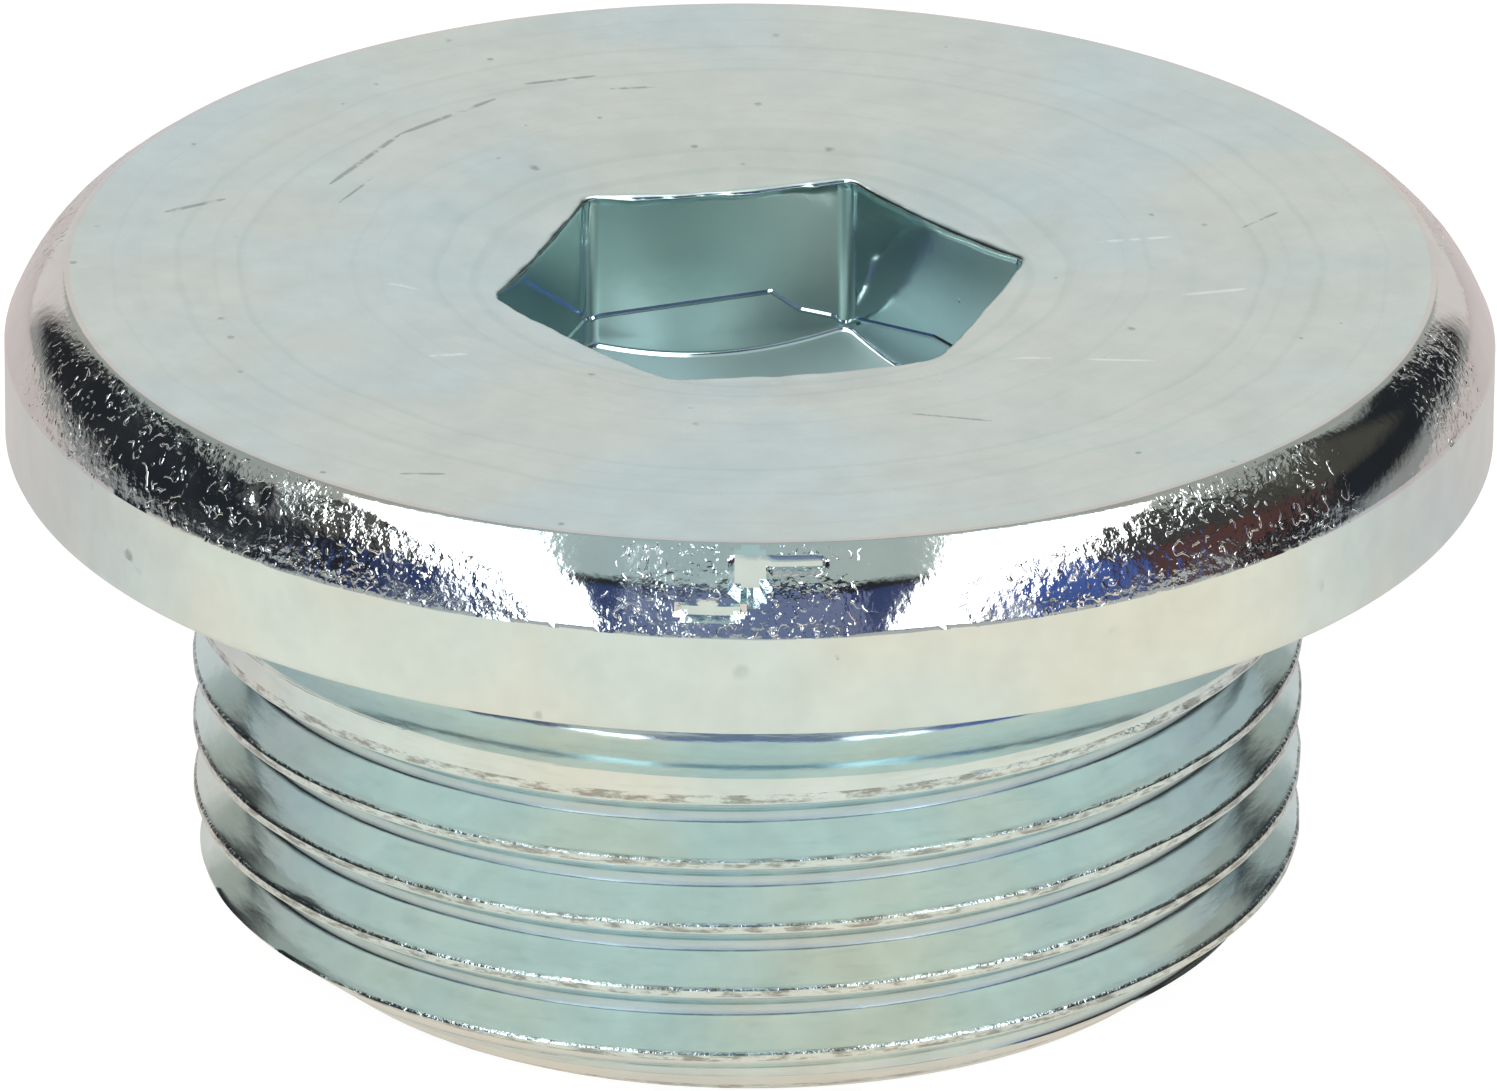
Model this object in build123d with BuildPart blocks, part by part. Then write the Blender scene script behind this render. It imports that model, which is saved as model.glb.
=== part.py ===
from build123d import *
import os
from math import cos, radians, sin, sqrt, tan

# Collared screw plug with a hexagon socket, pressed and turned from one piece of steel.
# The origin is the centre of the sealing face under the collar, where the plug meets the
# mouth of its port. +Z runs along the turning axis to the face with the socket, and the
# shank points down. Sizes are in millimetres and angles in degrees.

# Collar
collar_radius = 16.0
collar_thickness = 3.85
top_face_inset = 1.25       # from the collar's side in to the rim of the flat top
shoulder_inset = 0.42       # from the collar's side in to the step half way down the edge
shoulder_drop = 0.78        # the step below the top face
edge_drop = 1.62            # start of the collar's straight side below the top face
edge_crown = 0.06           # how far each half of the edge bulges from its chord
seat_edge_bevel = 0.15      # where the sealing face meets the collar's side

# Shank with an M24 x 1.5 thread, whose crests lie on the shank's surface
thread_radius = 12.0
shank_length = 10.9         # from the sealing face to the screw-in end
end_chamfer_inset = 1.9     # from the crests in past the thread's root
end_chamfer_length = 1.5

# Undercut that lets the sealing face seat square on its washer
neck_depth = 1.15           # below the thread's crests
neck_length = 2.8           # from the sealing face to the full shank
neck_ramp_angle = 45.0      # between the ramp and the turning axis
neck_fillet = 0.6           # between the neck and the sealing face

# Hexagon socket, left by a punch with a blunt conical tip
hex_across_flats = 10.0
hex_corner_radius = 0.5     # rounding between two walls
hex_corner_depth = 3.76     # from the top face to where sharp corners would meet the cone
punch_tip_angle = 120.0
punch_tip_radius = 0.8
mouth_bevel = 0.1           # depth of the lead-in at the middle of each flat

# Shallow dish round the socket
dish_radius = 7.65
dish_angle = 9.2            # between the dish and the top face

# Worked out from the sizes above
top_z = collar_thickness
end_z = -shank_length
end_face_radius = thread_radius - end_chamfer_inset
neck_radius = thread_radius - neck_depth
neck_end_z = neck_depth / tan(radians(neck_ramp_angle)) - neck_length
dish_slope = tan(radians(dish_angle))
flat_distance = hex_across_flats / 2
corner_distance = hex_across_flats / sqrt(3)
tip_half_angle = radians(punch_tip_angle / 2)
cone_apex_z = top_z - hex_corner_depth - corner_distance / tan(tip_half_angle)
tip_centre_z = cone_apex_z + punch_tip_radius / sin(tip_half_angle)
mouth_z = top_z - (dish_radius - flat_distance) * dish_slope - mouth_bevel
punch_reach = 2 * hex_across_flats


def hexagon():
    """Section of the socket: a hexagon with rounded corners."""
    with BuildSketch() as section:
        RegularPolygon(flat_distance, 6, major_radius=False)
        fillet(section.vertices(), hex_corner_radius)
    return section.sketch


# The punch is a hexagonal bar with a blunt conical end, and the socket is its shape: the
# floor is lowest on the axis and dips where it meets the middle of each flat.
with BuildPart() as punch:
    with BuildSketch(Plane.XY.offset(cone_apex_z)):
        add(hexagon())
    extrude(amount=punch_reach)

    with BuildSketch(Plane.XZ):
        with BuildLine():
            tip = RadiusArc(
                (0, tip_centre_z - punch_tip_radius),
                (
                    punch_tip_radius * cos(tip_half_angle),
                    tip_centre_z - punch_tip_radius * sin(tip_half_angle),
                ),
                -punch_tip_radius,
            )
            cone = Line(tip @ 1, (punch_reach, cone_apex_z + punch_reach / tan(tip_half_angle)))
            outside = Line(cone @ 1, (punch_reach, cone_apex_z + 2 * punch_reach))
            bar_end = Line(outside @ 1, (0, cone_apex_z + 2 * punch_reach))
            Line(bar_end @ 1, tip @ 0)
        make_face()
    revolve(axis=Axis.Z, mode=Mode.INTERSECT)

    # Lead-in round the mouth
    with BuildSketch(Plane.XY.offset(mouth_z)):
        add(hexagon())
    extrude(amount=top_z - mouth_z, taper=-45)


with BuildPart() as plug_body:
    # Half section, from the screw-in end up the outside and over the top to the axis
    with BuildSketch(Plane.XZ):
        with BuildLine():
            end_face = Line((0, end_z), (end_face_radius, end_z))
            end_chamfer = Line(end_face @ 1, (thread_radius, end_z + end_chamfer_length))
            shank = Line(end_chamfer @ 1, (thread_radius, -neck_length))
            ramp = Line(shank @ 1, (neck_radius, neck_end_z))
            neck = Line(ramp @ 1, (neck_radius, 0))
            sealing_face = Line(neck @ 1, (collar_radius, 0))
            side = Line(sealing_face @ 1, (collar_radius, top_z - edge_drop))
            lower_edge = SagittaArc(
                side @ 1, (collar_radius - shoulder_inset, top_z - shoulder_drop), edge_crown
            )
            upper_edge = SagittaArc(
                lower_edge @ 1, (collar_radius - top_face_inset, top_z), edge_crown
            )
            top_face = Line(upper_edge @ 1, (dish_radius, top_z))
            dish = Line(top_face @ 1, (0, top_z - dish_radius * dish_slope))
            Line(dish @ 1, end_face @ 0)
        make_face()
    revolve(axis=Axis.Z)

    # Inner and outer rim of the sealing face, which lies in the plane of the origin
    seat_rims = (
        plug_body.edges()
        .filter_by(GeomType.CIRCLE)
        .filter_by(lambda edge: abs(edge.center().Z) < 1e-6)
        .sort_by(SortBy.RADIUS)
    )
    fillet(seat_rims[0], neck_fillet)
    chamfer(seat_rims[-1], seat_edge_bevel)

    add(punch.part, mode=Mode.SUBTRACT)

plug_body.part.label = "plug_body"

os.makedirs("parts", exist_ok=True)
export_step(plug_body.part, "parts/plug_body.step")
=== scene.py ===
"""Collared screw plug with a hexagon socket: the detailed plug and its small studio.

Everything is in metres, in the frame of the CAD model: the origin is the centre of the
sealing face under the collar, and +Z points to the face with the socket.
"""

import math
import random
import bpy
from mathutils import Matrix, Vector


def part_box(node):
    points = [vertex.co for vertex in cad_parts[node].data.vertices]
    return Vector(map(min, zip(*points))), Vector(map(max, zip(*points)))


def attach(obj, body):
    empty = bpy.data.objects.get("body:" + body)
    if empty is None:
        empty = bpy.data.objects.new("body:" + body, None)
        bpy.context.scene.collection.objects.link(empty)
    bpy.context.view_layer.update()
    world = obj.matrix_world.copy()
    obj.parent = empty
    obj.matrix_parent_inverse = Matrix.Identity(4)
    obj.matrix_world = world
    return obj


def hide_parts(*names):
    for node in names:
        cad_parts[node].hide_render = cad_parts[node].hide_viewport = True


bl_info = {
    "name": "Hexagon Socket Screw Plug",
    "version": (1, 0, 0),
    "blender": (4, 5, 0),
    "location": "3D View > Sidebar > Screw Plug",
    "description": "Builds a zinc-plated screw plug round its CAD model, and the studio",
    "category": "Add Mesh",
}

import bpy
import numpy as np
from bpy.props import FloatProperty, FloatVectorProperty, IntProperty, PointerProperty
from bpy.types import Operator, Panel, PropertyGroup
from mathutils import Matrix, Vector, noise

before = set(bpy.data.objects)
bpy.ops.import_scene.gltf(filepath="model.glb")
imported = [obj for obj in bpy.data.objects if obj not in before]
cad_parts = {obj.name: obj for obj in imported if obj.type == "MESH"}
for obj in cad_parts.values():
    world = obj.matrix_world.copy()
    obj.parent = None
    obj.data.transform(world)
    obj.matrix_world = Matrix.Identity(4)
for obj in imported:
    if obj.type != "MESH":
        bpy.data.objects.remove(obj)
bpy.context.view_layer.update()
top_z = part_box("plug_body")[1].z
end_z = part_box("plug_body")[0].z
collar_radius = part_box("plug_body")[1].x

MM = 0.001
# Heights of the top face and the end face, and the collar's radius, in millimetres
TOP, END, COLLAR = top_z / MM, end_z / MM, collar_radius / MM

# The lens: focal length and picture width in pixels, and sensor width in millimetres
FOCAL_LENGTH, PICTURE_WIDTH, SENSOR_WIDTH = 20729.4, 1497, 36.0


# ---- Sizes and colours ----


def length(name, description, default):
    """A length in metres for the sidebar."""
    return FloatProperty(
        name=name, description=description, default=default, min=0.0, unit="LENGTH", precision=5
    )


def degrees(name, description, default):
    """An angle for the sidebar, with its default in degrees."""
    return FloatProperty(
        name=name, description=description, default=math.radians(default), subtype="ANGLE"
    )


def paint(name, description, default):
    """A colour for the sidebar, in linear red, green and blue."""
    return FloatVectorProperty(
        name=name, description=description, default=default, subtype="COLOR", min=0.0, max=1.0
    )


class PlugSizes(PropertyGroup):
    """Sizes of the screw plug."""

    dish_radius: length("Dish radius", "Rim of the shallow dish round the socket", 0.00765)
    top_radius: length("Top face radius", "Rim of the flat top face", 0.01475)
    shoulder_radius: length("Shoulder radius", "Step half way down the collar's edge", 0.01558)
    shoulder_drop: length("Shoulder drop", "Step's distance below the top face", 0.00078)
    edge_drop: length("Edge drop", "Start of the collar's side below the top face", 0.00162)
    thread_radius: length("Thread radius", "Crests of the thread", 0.012)
    thread_pitch: length("Thread pitch", "Rise of the thread in one turn", 0.0015)
    neck_radius: length("Neck radius", "Undercut below the collar", 0.01085)
    neck_fillet: length("Neck fillet", "Where the neck meets the sealing face", 0.0006)
    neck_length: length("Neck length", "From the sealing face to the full shank", 0.0028)
    end_face_radius: length("End face radius", "Flat face at the screw-in end", 0.0101)
    chamfer_length: length("Chamfer length", "Lead-in at the screw-in end", 0.0015)
    hex_across_flats: length("Socket across flats", "Width of the hexagon socket", 0.010)
    hex_corner_depth: length("Socket depth", "From the top face to the socket's corners", 0.00376)
    hex_corner_radius: length("Socket corner radius", "Rounding between two walls", 0.0005)
    socket_offset: length("Socket offset", "How far off the axis the socket was pressed", 0.0002)
    dish_angle: degrees("Dish angle", "Slope of the dish round the socket", 9.2)
    columns: IntProperty(
        name="Columns", description="Divisions round the plug", default=360, min=60
    )


class ZincFinish(PropertyGroup):
    """Colours of the zinc plating, with painted shade in the colours of the socket's floor."""

    plating: paint("Plating", "Clear passivated zinc", (0.68, 0.82, 0.84))
    edge: paint("Edge", "Greyer plating on the collar's hammered edge", (0.68, 0.73, 0.75))
    socket: paint("Socket", "Plating on the upper part of the socket's walls", (0.66, 0.83, 0.83))
    # Painted shade: the socket's floor is given a much darker colour than the walls, and darker
    # again at its rim by the walls
    floor_with_painted_shade: paint("Floor", "Plating in the middle of the socket's floor", (0.42, 0.53, 0.53))
    floor_rim_painted_shade: paint("Floor's rim", "Factor on the floor's colour at its rim", (0.64, 0.68, 0.68))


class StudioSettings(PropertyGroup):
    """Camera and lights."""

    distance: length("Camera distance", "From the middle of the top face", 0.4444)
    azimuth: degrees("Camera azimuth", "Direction of the camera seen from the plug", -100.4)
    elevation: degrees("Camera elevation", "Height angle seen from the top face", 23.14)
    pitch: degrees("Camera pitch", "How far the camera looks down", 23.917)
    roll: degrees("Camera roll", "Turn of the camera about its own axis", -0.384)


# ---- Plug mesh ----


class Skin:
    """A closed surface made of rings of points, each joined to the one before."""

    def __init__(self):
        self.points = []
        self.faces = []
        self.finishes = []
        self.notes = {}
        self.count = 0
        self.last = None

    def add(self, points):
        """Adds loose points and returns their numbers."""
        first = self.count
        self.points.append(np.asarray(points, float))
        self.count += len(points)
        return np.arange(first, self.count)

    def face(self, corners, finish):
        """Adds a face, unless corners that are the same point leave fewer than three."""
        kept = [c for i, c in enumerate(corners) if c != corners[i - 1]]
        if len(set(kept)) >= 3:
            self.faces.append(kept)
            self.finishes.append(finish)

    def grow(self, points, finish):
        """Adds a ring and joins it to the last one. One may have twice the other's points.
        The finish is one number, or one for each face round the ring."""
        upper = self.add(points)
        lower = self.last
        self.last = upper
        n, m = len(lower), len(upper)
        fewer = min(n, m)
        each = np.broadcast_to(finish, fewer)
        for i in range(fewer):
            j = (i + 1) % fewer
            middle = 2 * i + 1
            finish = int(each[i])
            if n == m:
                self.face([lower[i], lower[j], upper[j], upper[i]], finish)
            elif n < m:
                self.face([lower[i], upper[middle], upper[2 * i]], finish)
                self.face([lower[i], lower[j], upper[middle]], finish)
                self.face([lower[j], upper[2 * j], upper[middle]], finish)
            else:
                self.face([lower[2 * i], lower[middle], upper[i]], finish)
                self.face([lower[middle], upper[j], upper[i]], finish)
                self.face([lower[middle], lower[2 * j], upper[j]], finish)

    def start_cap(self, ring, centre, finish):
        """Starts the surface with a fan round a centre point."""
        middle = self.add([centre])[0]
        self.last = self.add(ring)
        for i, corner in enumerate(self.last):
            self.face([corner, self.last[(i + 1) % len(ring)], middle], finish)

    def end_cap(self, centre, finish):
        """Closes the surface with a fan round a centre point."""
        middle = self.add([centre])[0]
        for i, corner in enumerate(self.last):
            self.face([self.last[(i + 1) % len(self.last)], corner, middle], finish)

    def note(self, name, first, values):
        """Keeps a value for each point from the first on, for the finishes to read."""
        self.notes.setdefault(name, []).append((first, values))

    def mesh(self, name):
        """The surface as a Blender mesh in metres, without the points that no face uses."""
        points = np.vstack(self.points)
        used = np.zeros(len(points), bool)
        for corners in self.faces:
            used[corners] = True
        number = np.cumsum(used) - 1
        faces = [[int(number[corner]) for corner in corners] for corners in self.faces]
        mesh = bpy.data.meshes.new(name)
        mesh.from_pydata((points[used] * MM).tolist(), [], faces)
        mesh.polygons.foreach_set("material_index", np.array(self.finishes, np.int32))
        for note, entries in self.notes.items():
            each = np.zeros(len(points))
            for first, values in entries:
                each[first : first + len(values)] = values
            attribute = mesh.attributes.new(note, "FLOAT", "POINT")
            attribute.data.foreach_set("value", each[used].astype(np.float32))
        mesh.update()
        return mesh


def smooth_step(low, high, value):
    """Rises from 0 at low to 1 at high with level ends."""
    t = np.clip((value - low) / (high - low), 0.0, 1.0)
    return t * t * (3 - 2 * t)


def soft_min(a, b, reach):
    """The smaller of two values, rounded off where they are closer than reach."""
    h = np.clip(0.5 + 0.5 * (b - a) / reach, 0.0, 1.0)
    return b * (1 - h) + a * h - reach * h * (1 - h)


def ripple(points, size, seed):
    """Smooth noise from about -1 to 1 at points in millimetres; size is that of its bumps,
    and each seed has its own."""
    shift = Vector((seed * 17.3, seed * 5.1, seed * 9.7))
    return np.array([noise.noise(Vector(p) / size + shift) for p in points])


def ring(radius, z, angles):
    """Points in millimetres round the plug's axis."""
    radius = np.broadcast_to(radius, angles.shape)
    z = np.broadcast_to(z, angles.shape)
    return np.column_stack([radius * np.cos(angles), radius * np.sin(angles), z])


def all_round(count):
    """Equally spaced angles in radians."""
    return np.arange(count) * 2 * math.pi / count


def add_rings(skin, rings, angles, finish):
    """Adds round rings, each given by its radius and height in millimetres."""
    for radius, z in rings:
        skin.grow(ring(radius, z, angles), finish)


# Numbers of the finishes, in the order of the mesh's material slots
FACED, EDGE, SIDE, THREAD, CREST, SOCKET, FOOT, FLOOR = range(8)


def socket_outline(sizes, front):
    """Corner-rounded hexagon with a corner on +X: its points and their outward normals."""
    flat = sizes.hex_across_flats / MM / 2
    rounding = sizes.hex_corner_radius / MM
    half = math.radians(30)  # half the angle of a side
    sector = sizes.columns // 6
    arc_steps = 8
    flat_steps = sector // 2 - arc_steps
    arc_centre = (flat - rounding) / math.cos(half)
    half_flat = (flat - rounding) * math.tan(half)
    points, normals = [], []
    for column in range(sizes.columns):
        step = (column + sector // 2) % sector - sector // 2
        corner = 2 * half * ((column + sector // 2) // sector)
        side = -1 if step < 0 else 1
        if abs(step) <= arc_steps:
            turn = side * half * abs(step) / arc_steps
            x = arc_centre + rounding * math.cos(turn)
            y = rounding * math.sin(turn)
        else:
            turn = side * half
            along = half_flat * (1 - (abs(step) - arc_steps) / flat_steps)
            x = flat * math.cos(turn) + along * math.sin(abs(turn))
            y = side * (flat * math.sin(abs(turn)) - along * math.cos(turn))
        c, s = math.cos(corner), math.sin(corner)
        points.append((x * c - y * s, x * s + y * c))
        normals.append((math.cos(corner + turn), math.sin(corner + turn)))
    shift = sizes.socket_offset / MM
    offset = np.array([-math.sin(front), math.cos(front)]) * shift
    return np.array(points), np.array(normals), offset


def ridge_height(columns):
    """Height of the ridge in the socket above its corners, in millimetres, round the walls."""
    turn = np.arange(columns) * 360 / columns
    # Angles round the plug in degrees, and the heights there
    path = (
        (0, 0.45), (30, 0.7), (60, 0.1), (64, 0.11), (75, 0.48), (80, 0.94), (118, 0.57),
        (120, 0.6), (180, 0.55), (300, 0.6), (360, 0.45),
    )
    return np.interp(turn, [p[0] for p in path], [p[1] for p in path])


def add_socket_and_dish(skin, sizes, front):
    """Conical socket floor, six walls, the rounded mouth and the shallow dish round it."""
    outline, outward, offset = socket_outline(sizes, front)
    flat = sizes.hex_across_flats / MM / 2
    corner = flat / math.cos(math.radians(30))
    corner_z = TOP - sizes.hex_corner_depth / MM
    floor_slope = 1 / math.tan(math.radians(60))
    rim = sizes.dish_radius / MM
    dish_slope = math.tan(sizes.dish_angle)
    pip_radius, pip_curve = 1.1, 0.26  # rounded tip of the floor's cone

    def lay(shape, z):
        return np.column_stack([shape + offset, np.broadcast_to(z, len(shape))])

    def floor_height(radius):
        cone = corner_z - (corner - radius) * floor_slope
        edge = corner_z - (corner - pip_radius) * floor_slope
        tip = edge - (pip_radius**2 - radius**2) * pip_curve
        return np.where(radius < pip_radius, tip, cone)

    def dish_height(points):
        return TOP - np.maximum(rim - np.hypot(points[:, 0], points[:, 1]), 0.0) * dish_slope

    reach = np.hypot(outline[:, 0], outline[:, 1])
    bead, bead_top = 0.07, 1.1  # size in millimetres, and share of it up the wall
    for share in (0.05, 0.1, 0.16, 0.22, 0.3, 0.42, 0.56, 0.7, 0.82, 0.91, 0.96):
        points = lay(outline * share, floor_height(reach * share))
        if skin.last is None:
            skin.start_cap(points, (offset[0], offset[1], float(floor_height(0.0))), FLOOR)
        else:
            skin.grow(points, FLOOR)
    skin.grow(lay(outline - outward * bead, floor_height(reach - bead)), FLOOR)

    # A small bead joins the floor to the walls
    foot = floor_height(reach)
    for inward, up in ((0.55, 0.05), (0.25, 0.25), (0.07, 0.6), (0.0, bead_top)):
        skin.grow(lay(outline - outward * bead * inward, foot + bead * (up - 0.45 * inward)), FOOT)

    # A fine ridge runs round the walls where the punch's shoulder stopped
    ridge = corner_z + ridge_height(sizes.columns)
    low = foot + bead_top * bead
    below, above = 0.07, 0.05  # where its slopes end
    for share in (0.35, 0.7):
        skin.grow(lay(outline, low + (ridge - below - low) * share), FOOT)
    for out, up, finish in (
        (0.0, -below, FOOT), (0.03, -below / 2, FOOT), (0.035, 0.0, FOOT), (0.0, above, SOCKET)
    ):
        skin.grow(lay(outline - outward * out, ridge + up), finish)

    # The mouth is rolled over by an uneven amount and has a faint raised burr
    near = lay(outline, TOP)
    roll = 0.085 + 0.05 * ripple(near, 0.5, 3) + 0.03 * ripple(near, 0.2, 4)
    lip = 0.035 * np.maximum(ripple(near, 0.9, 5) + 0.15, 0.0)
    mouth = outline + outward * roll[:, None]
    mouth_z = dish_height(mouth + offset)
    start = ridge + above
    for share in (0.1, 0.3, 0.5, 0.7, 0.85, 0.94, 1.0):
        z = start + (mouth_z - roll - start) * share
        skin.grow(lay(outline, z), SOCKET)
    for angle in (22, 44, 66, 90):
        a = math.radians(angle)
        shape = outline + outward * (roll * (1 - math.cos(a)))[:, None]
        z = dish_height(shape + offset) - roll * (1 - math.sin(a))
        skin.grow(lay(shape, z + lip * math.sin(a)), FACED if angle > 60 else SOCKET)
    burr = 0.2  # width of the ring in which the burr fades
    for out, share in ((0.06, 0.9), (0.13, 0.25), (burr, 0.0)):
        shape = mouth + outward * out
        skin.grow(lay(shape, dish_height(shape + offset) + lip * share), FACED)

    # Dish, blended from the hexagon to its round rim
    blend = 0.12
    inner = mouth + outward * burr + offset
    turn = all_round(sizes.columns)
    outer = np.column_stack([np.cos(turn), np.sin(turn)]) * (rim - blend)
    for share in (0.15, 0.35, 0.6, 0.8, 0.93, 1.0):
        shape = inner * (1 - share) + outer * share
        skin.grow(np.column_stack([shape, dish_height(shape)]), FACED)
    add_rings(skin, ((rim, TOP - 0.006), (rim + blend, TOP)), turn, FACED)


def edge_profile(sizes):
    """Collar's edge from the top face to the side: radius and drop below the top face."""
    rim = sizes.top_radius / MM
    step = sizes.shoulder_radius / MM
    step_drop = sizes.shoulder_drop / MM
    drop = sizes.edge_drop / MM
    rolled = 0.035  # drop of the rim's own rounding
    profile = [(rim - 0.3, 0.0), (rim - 0.16, 0.003), (rim - 0.07, 0.012), (rim, rolled)]

    steps = 10

    def curve(start, end, first_angle, last_angle):
        """Arc from start to end whose slope goes from one angle to the other."""
        angles = np.radians(np.linspace(first_angle, last_angle, steps))
        halfway = (angles[1:] + angles[:-1]) / 2
        r = np.concatenate([[0.0], np.cumsum(np.cos(halfway))])
        d = np.concatenate([[0.0], np.cumsum(np.sin(halfway))])
        r = start[0] + (end[0] - start[0]) * r / r[-1]
        d = start[1] + (end[1] - start[1]) * d / d[-1]
        return list(zip(r[1:], d[1:]))

    profile += curve((rim, rolled), (step, step_drop), 30, 54)
    profile += curve((step, step_drop), (COLLAR, drop), 57, 70)
    return profile


def battered(angle, drop):
    """How battered the collar's edge is, 0 to 1, at an angle in degrees from the front and
    a drop in millimetres below the top face."""
    amount = 0.1
    # Stretches of the edge: their middle and half width in degrees, and how much more
    for middle, reach, extra in (
        (-1, 11, 0.95), (-29, 14, 0.6), (-52, 30, 0.4), (28, 13, 0.5), (44, 11, 0.6), (73, 8, 0.6),
        (118, 26, 0.5), (178, 34, 0.4), (-118, 30, 0.5),
    ):
        away = np.abs((angle - middle + 180) % 360 - 180)
        amount = amount + extra * (1 - smooth_step(0.5 * reach, reach, away))
    # Two smooth crescents under the rim, on both sides of the front
    side = np.abs(angle)
    border = 0.15 + 0.025 * (36 - side)
    spared = smooth_step(9, 12, side) * (1 - smooth_step(34, 38, side))
    spared = spared * (1 - smooth_step(border, border + 0.12, drop))
    return np.minimum(amount, 1.0) * (1 - 0.9 * spared)


def add_collar(skin, sizes, front):
    """Flat top, hammered edge in two steps, side and sealing face."""
    turn, fine_turn = all_round(sizes.columns), all_round(2 * sizes.columns)
    add_rings(skin, ((9.5, TOP), (11.5, TOP), (13.5, TOP)), turn, FACED)

    profile = edge_profile(sizes)
    rows = [ring(radius, TOP - drop, fine_turn) for radius, drop in profile]
    rows_start = skin.count
    points = np.vstack(rows)
    drop = np.repeat([drop for _, drop in profile], len(fine_turn))
    outward = points / np.hypot(points[:, 0], points[:, 1])[:, None]
    outward[:, 2] = 0.55  # dents go inwards and down
    total = profile[-1][1]
    worked = smooth_step(0.01, 0.12, drop) * (1 - 0.6 * smooth_step(total - 0.1, total, drop))
    angle = np.degrees(np.arctan2(points[:, 1], points[:, 0])) - math.degrees(front)
    angle = (angle + 180) % 360 - 180
    amount = battered(angle, drop)
    hammer = 0.010 * (1 + ripple(points, 0.4, 1)) + 0.010 * (1 + ripple(points, 0.24, 2))
    hammer = hammer * amount + 0.004 * (1 + ripple(points, 1.6, 6))

    # Dents from other parts: angle from the front, drop, radius and depth
    dents = [(-42, 0.6, 0.34, 0.05), (-30, 1.3, 0.25, 0.04), (-27.5, 1.2, 0.2, 0.04)]
    edge_middle, tries = 15.3, 480  # radius of the dents' centres, and how many are tried
    shuffle = random.Random(11)
    for _ in range(tries):
        place, below = shuffle.uniform(-180, 180), shuffle.uniform(0.15, 1.5)
        size, depth = shuffle.uniform(0.14, 0.24), shuffle.uniform(0.01, 0.03)
        if shuffle.random() < 0.8 * battered(place, below):
            dents.append((place, below, size, depth))
    for place, below, size, depth in dents:
        a = front + math.radians(place)
        x, y = edge_middle * math.cos(a), edge_middle * math.sin(a)
        gap = np.hypot(points[:, 0] - x, points[:, 1] - y)
        gap = np.hypot(gap, drop - below)
        hammer += depth * (1 - smooth_step(0.3 * size, size, gap))
    points = points - outward * (hammer * worked)[:, None]

    # Chip knocked out of the edge in three parts, each a steep face over a narrow ledge:
    # how far right of the front, half width, drops of its top and bottom, and radius left
    across = -points[:, 0] * math.sin(front) + points[:, 1] * math.cos(front)
    chipped = np.zeros(len(points), bool)
    for middle, half_width, low, high, radius in (
        (0.03, 0.36, 0.05, 0.98, 14.92),
        (1.05, 0.62, 0.2, 0.46, 14.98),
        (-0.75, 0.72, 0.96, 1.26, 15.6),
    ):
        u = (across - middle) / half_width
        v = (drop - (low + high) / 2) / ((high - low) / 2)
        inside = (u**4 + v**4 + 0.35 * ripple(points, 0.3, 8) < 1) & (np.abs(angle) < 90)
        reach = np.hypot(points[:, 0], points[:, 1])
        cut = np.maximum(reach - radius - 0.16 * (drop - low), 0.0) * inside
        points[:, :2] *= (1 - cut / reach)[:, None]
        chipped |= inside

    count = len(fine_turn)
    for k in range(len(rows)):
        here = chipped[k * count : (k + 1) * count]
        bare = here & np.roll(here, -1)
        finish = np.where(bare, SIDE, EDGE) if k > 1 else FACED
        skin.grow(points[k * count : (k + 1) * count], finish)
    skin.note("battered", rows_start, amount * worked)

    # The side is a little wavy; its corners stay crisp
    for below in (total + 0.06, total + 0.5, 2.6, 3.1, TOP - 0.2):
        points = ring(COLLAR, TOP - below, fine_turn)
        wave = 0.006 * (1 + ripple(points, 1.1, 9))
        skin.grow(ring(COLLAR - wave, TOP - below, fine_turn), SIDE)
    corner = ((COLLAR - 0.005, 0.13), (COLLAR - 0.05, 0.04), (COLLAR - 0.15, 0.0))
    add_rings(skin, corner, fine_turn, SIDE)
    add_rings(skin, ((15.0, 0.0), (13.5, 0.0), (12.2, 0.0)), turn, FACED)


FIRST_GROOVE = -4.06  # height of a groove's middle at the front, in millimetres
GROOVE_DEPTH = 0.6134  # of the pitch


def thread_radius_at(turn, z, sizes):
    """Radius of the threaded shank in millimetres, at turn (radians from the front) and
    height z in millimetres."""
    pitch = sizes.thread_pitch / MM
    crest = sizes.thread_radius / MM
    depth = GROOVE_DEPTH * pitch
    root_radius = pitch * math.sqrt(3) / 12
    turn = turn % (2 * math.pi)
    rise = FIRST_GROOVE + pitch * turn / (2 * math.pi)
    nearest = np.round((z - rise) / pitch)
    signed = z - rise - nearest * pitch
    off = np.abs(signed)
    along = turn + 2 * math.pi * nearest
    root = crest - depth
    arc = root + root_radius - np.sqrt(np.maximum(root_radius**2 - off**2, 0.0))
    flank_start = root_radius * math.cos(math.radians(30))
    flank = root + root_radius * 0.5 + (off - flank_start) * math.tan(math.radians(60))
    groove = np.where(off < flank_start, arc, flank)
    # The groove fades out of the surface round the back
    run_out = smooth_step(math.radians(150), math.radians(300), along)
    groove = groove + run_out * depth * 1.1
    corner = np.where(signed < 0, 0.07, 0.03)
    return soft_min(groove, np.full_like(groove, crest), corner)


def worn(radius, z, turn, sizes):
    """Thread radius with ragged crests and slightly uneven flanks."""
    points = ring(radius, z, turn)
    crest = sizes.thread_radius / MM
    high = smooth_step(crest - 0.2, crest - 0.02, radius)
    ragged = 0.012 * (1 + ripple(points, 0.7, 21)) + 0.02 * np.maximum(
        ripple(points, 1.6, 22) - 0.1, 0.0
    )
    shiver = 0.004 * (1 + ripple(points * np.array([1, 1, 3.0]), 0.6, 23))
    return radius - ragged * high - shiver * (1 - high)


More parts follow.
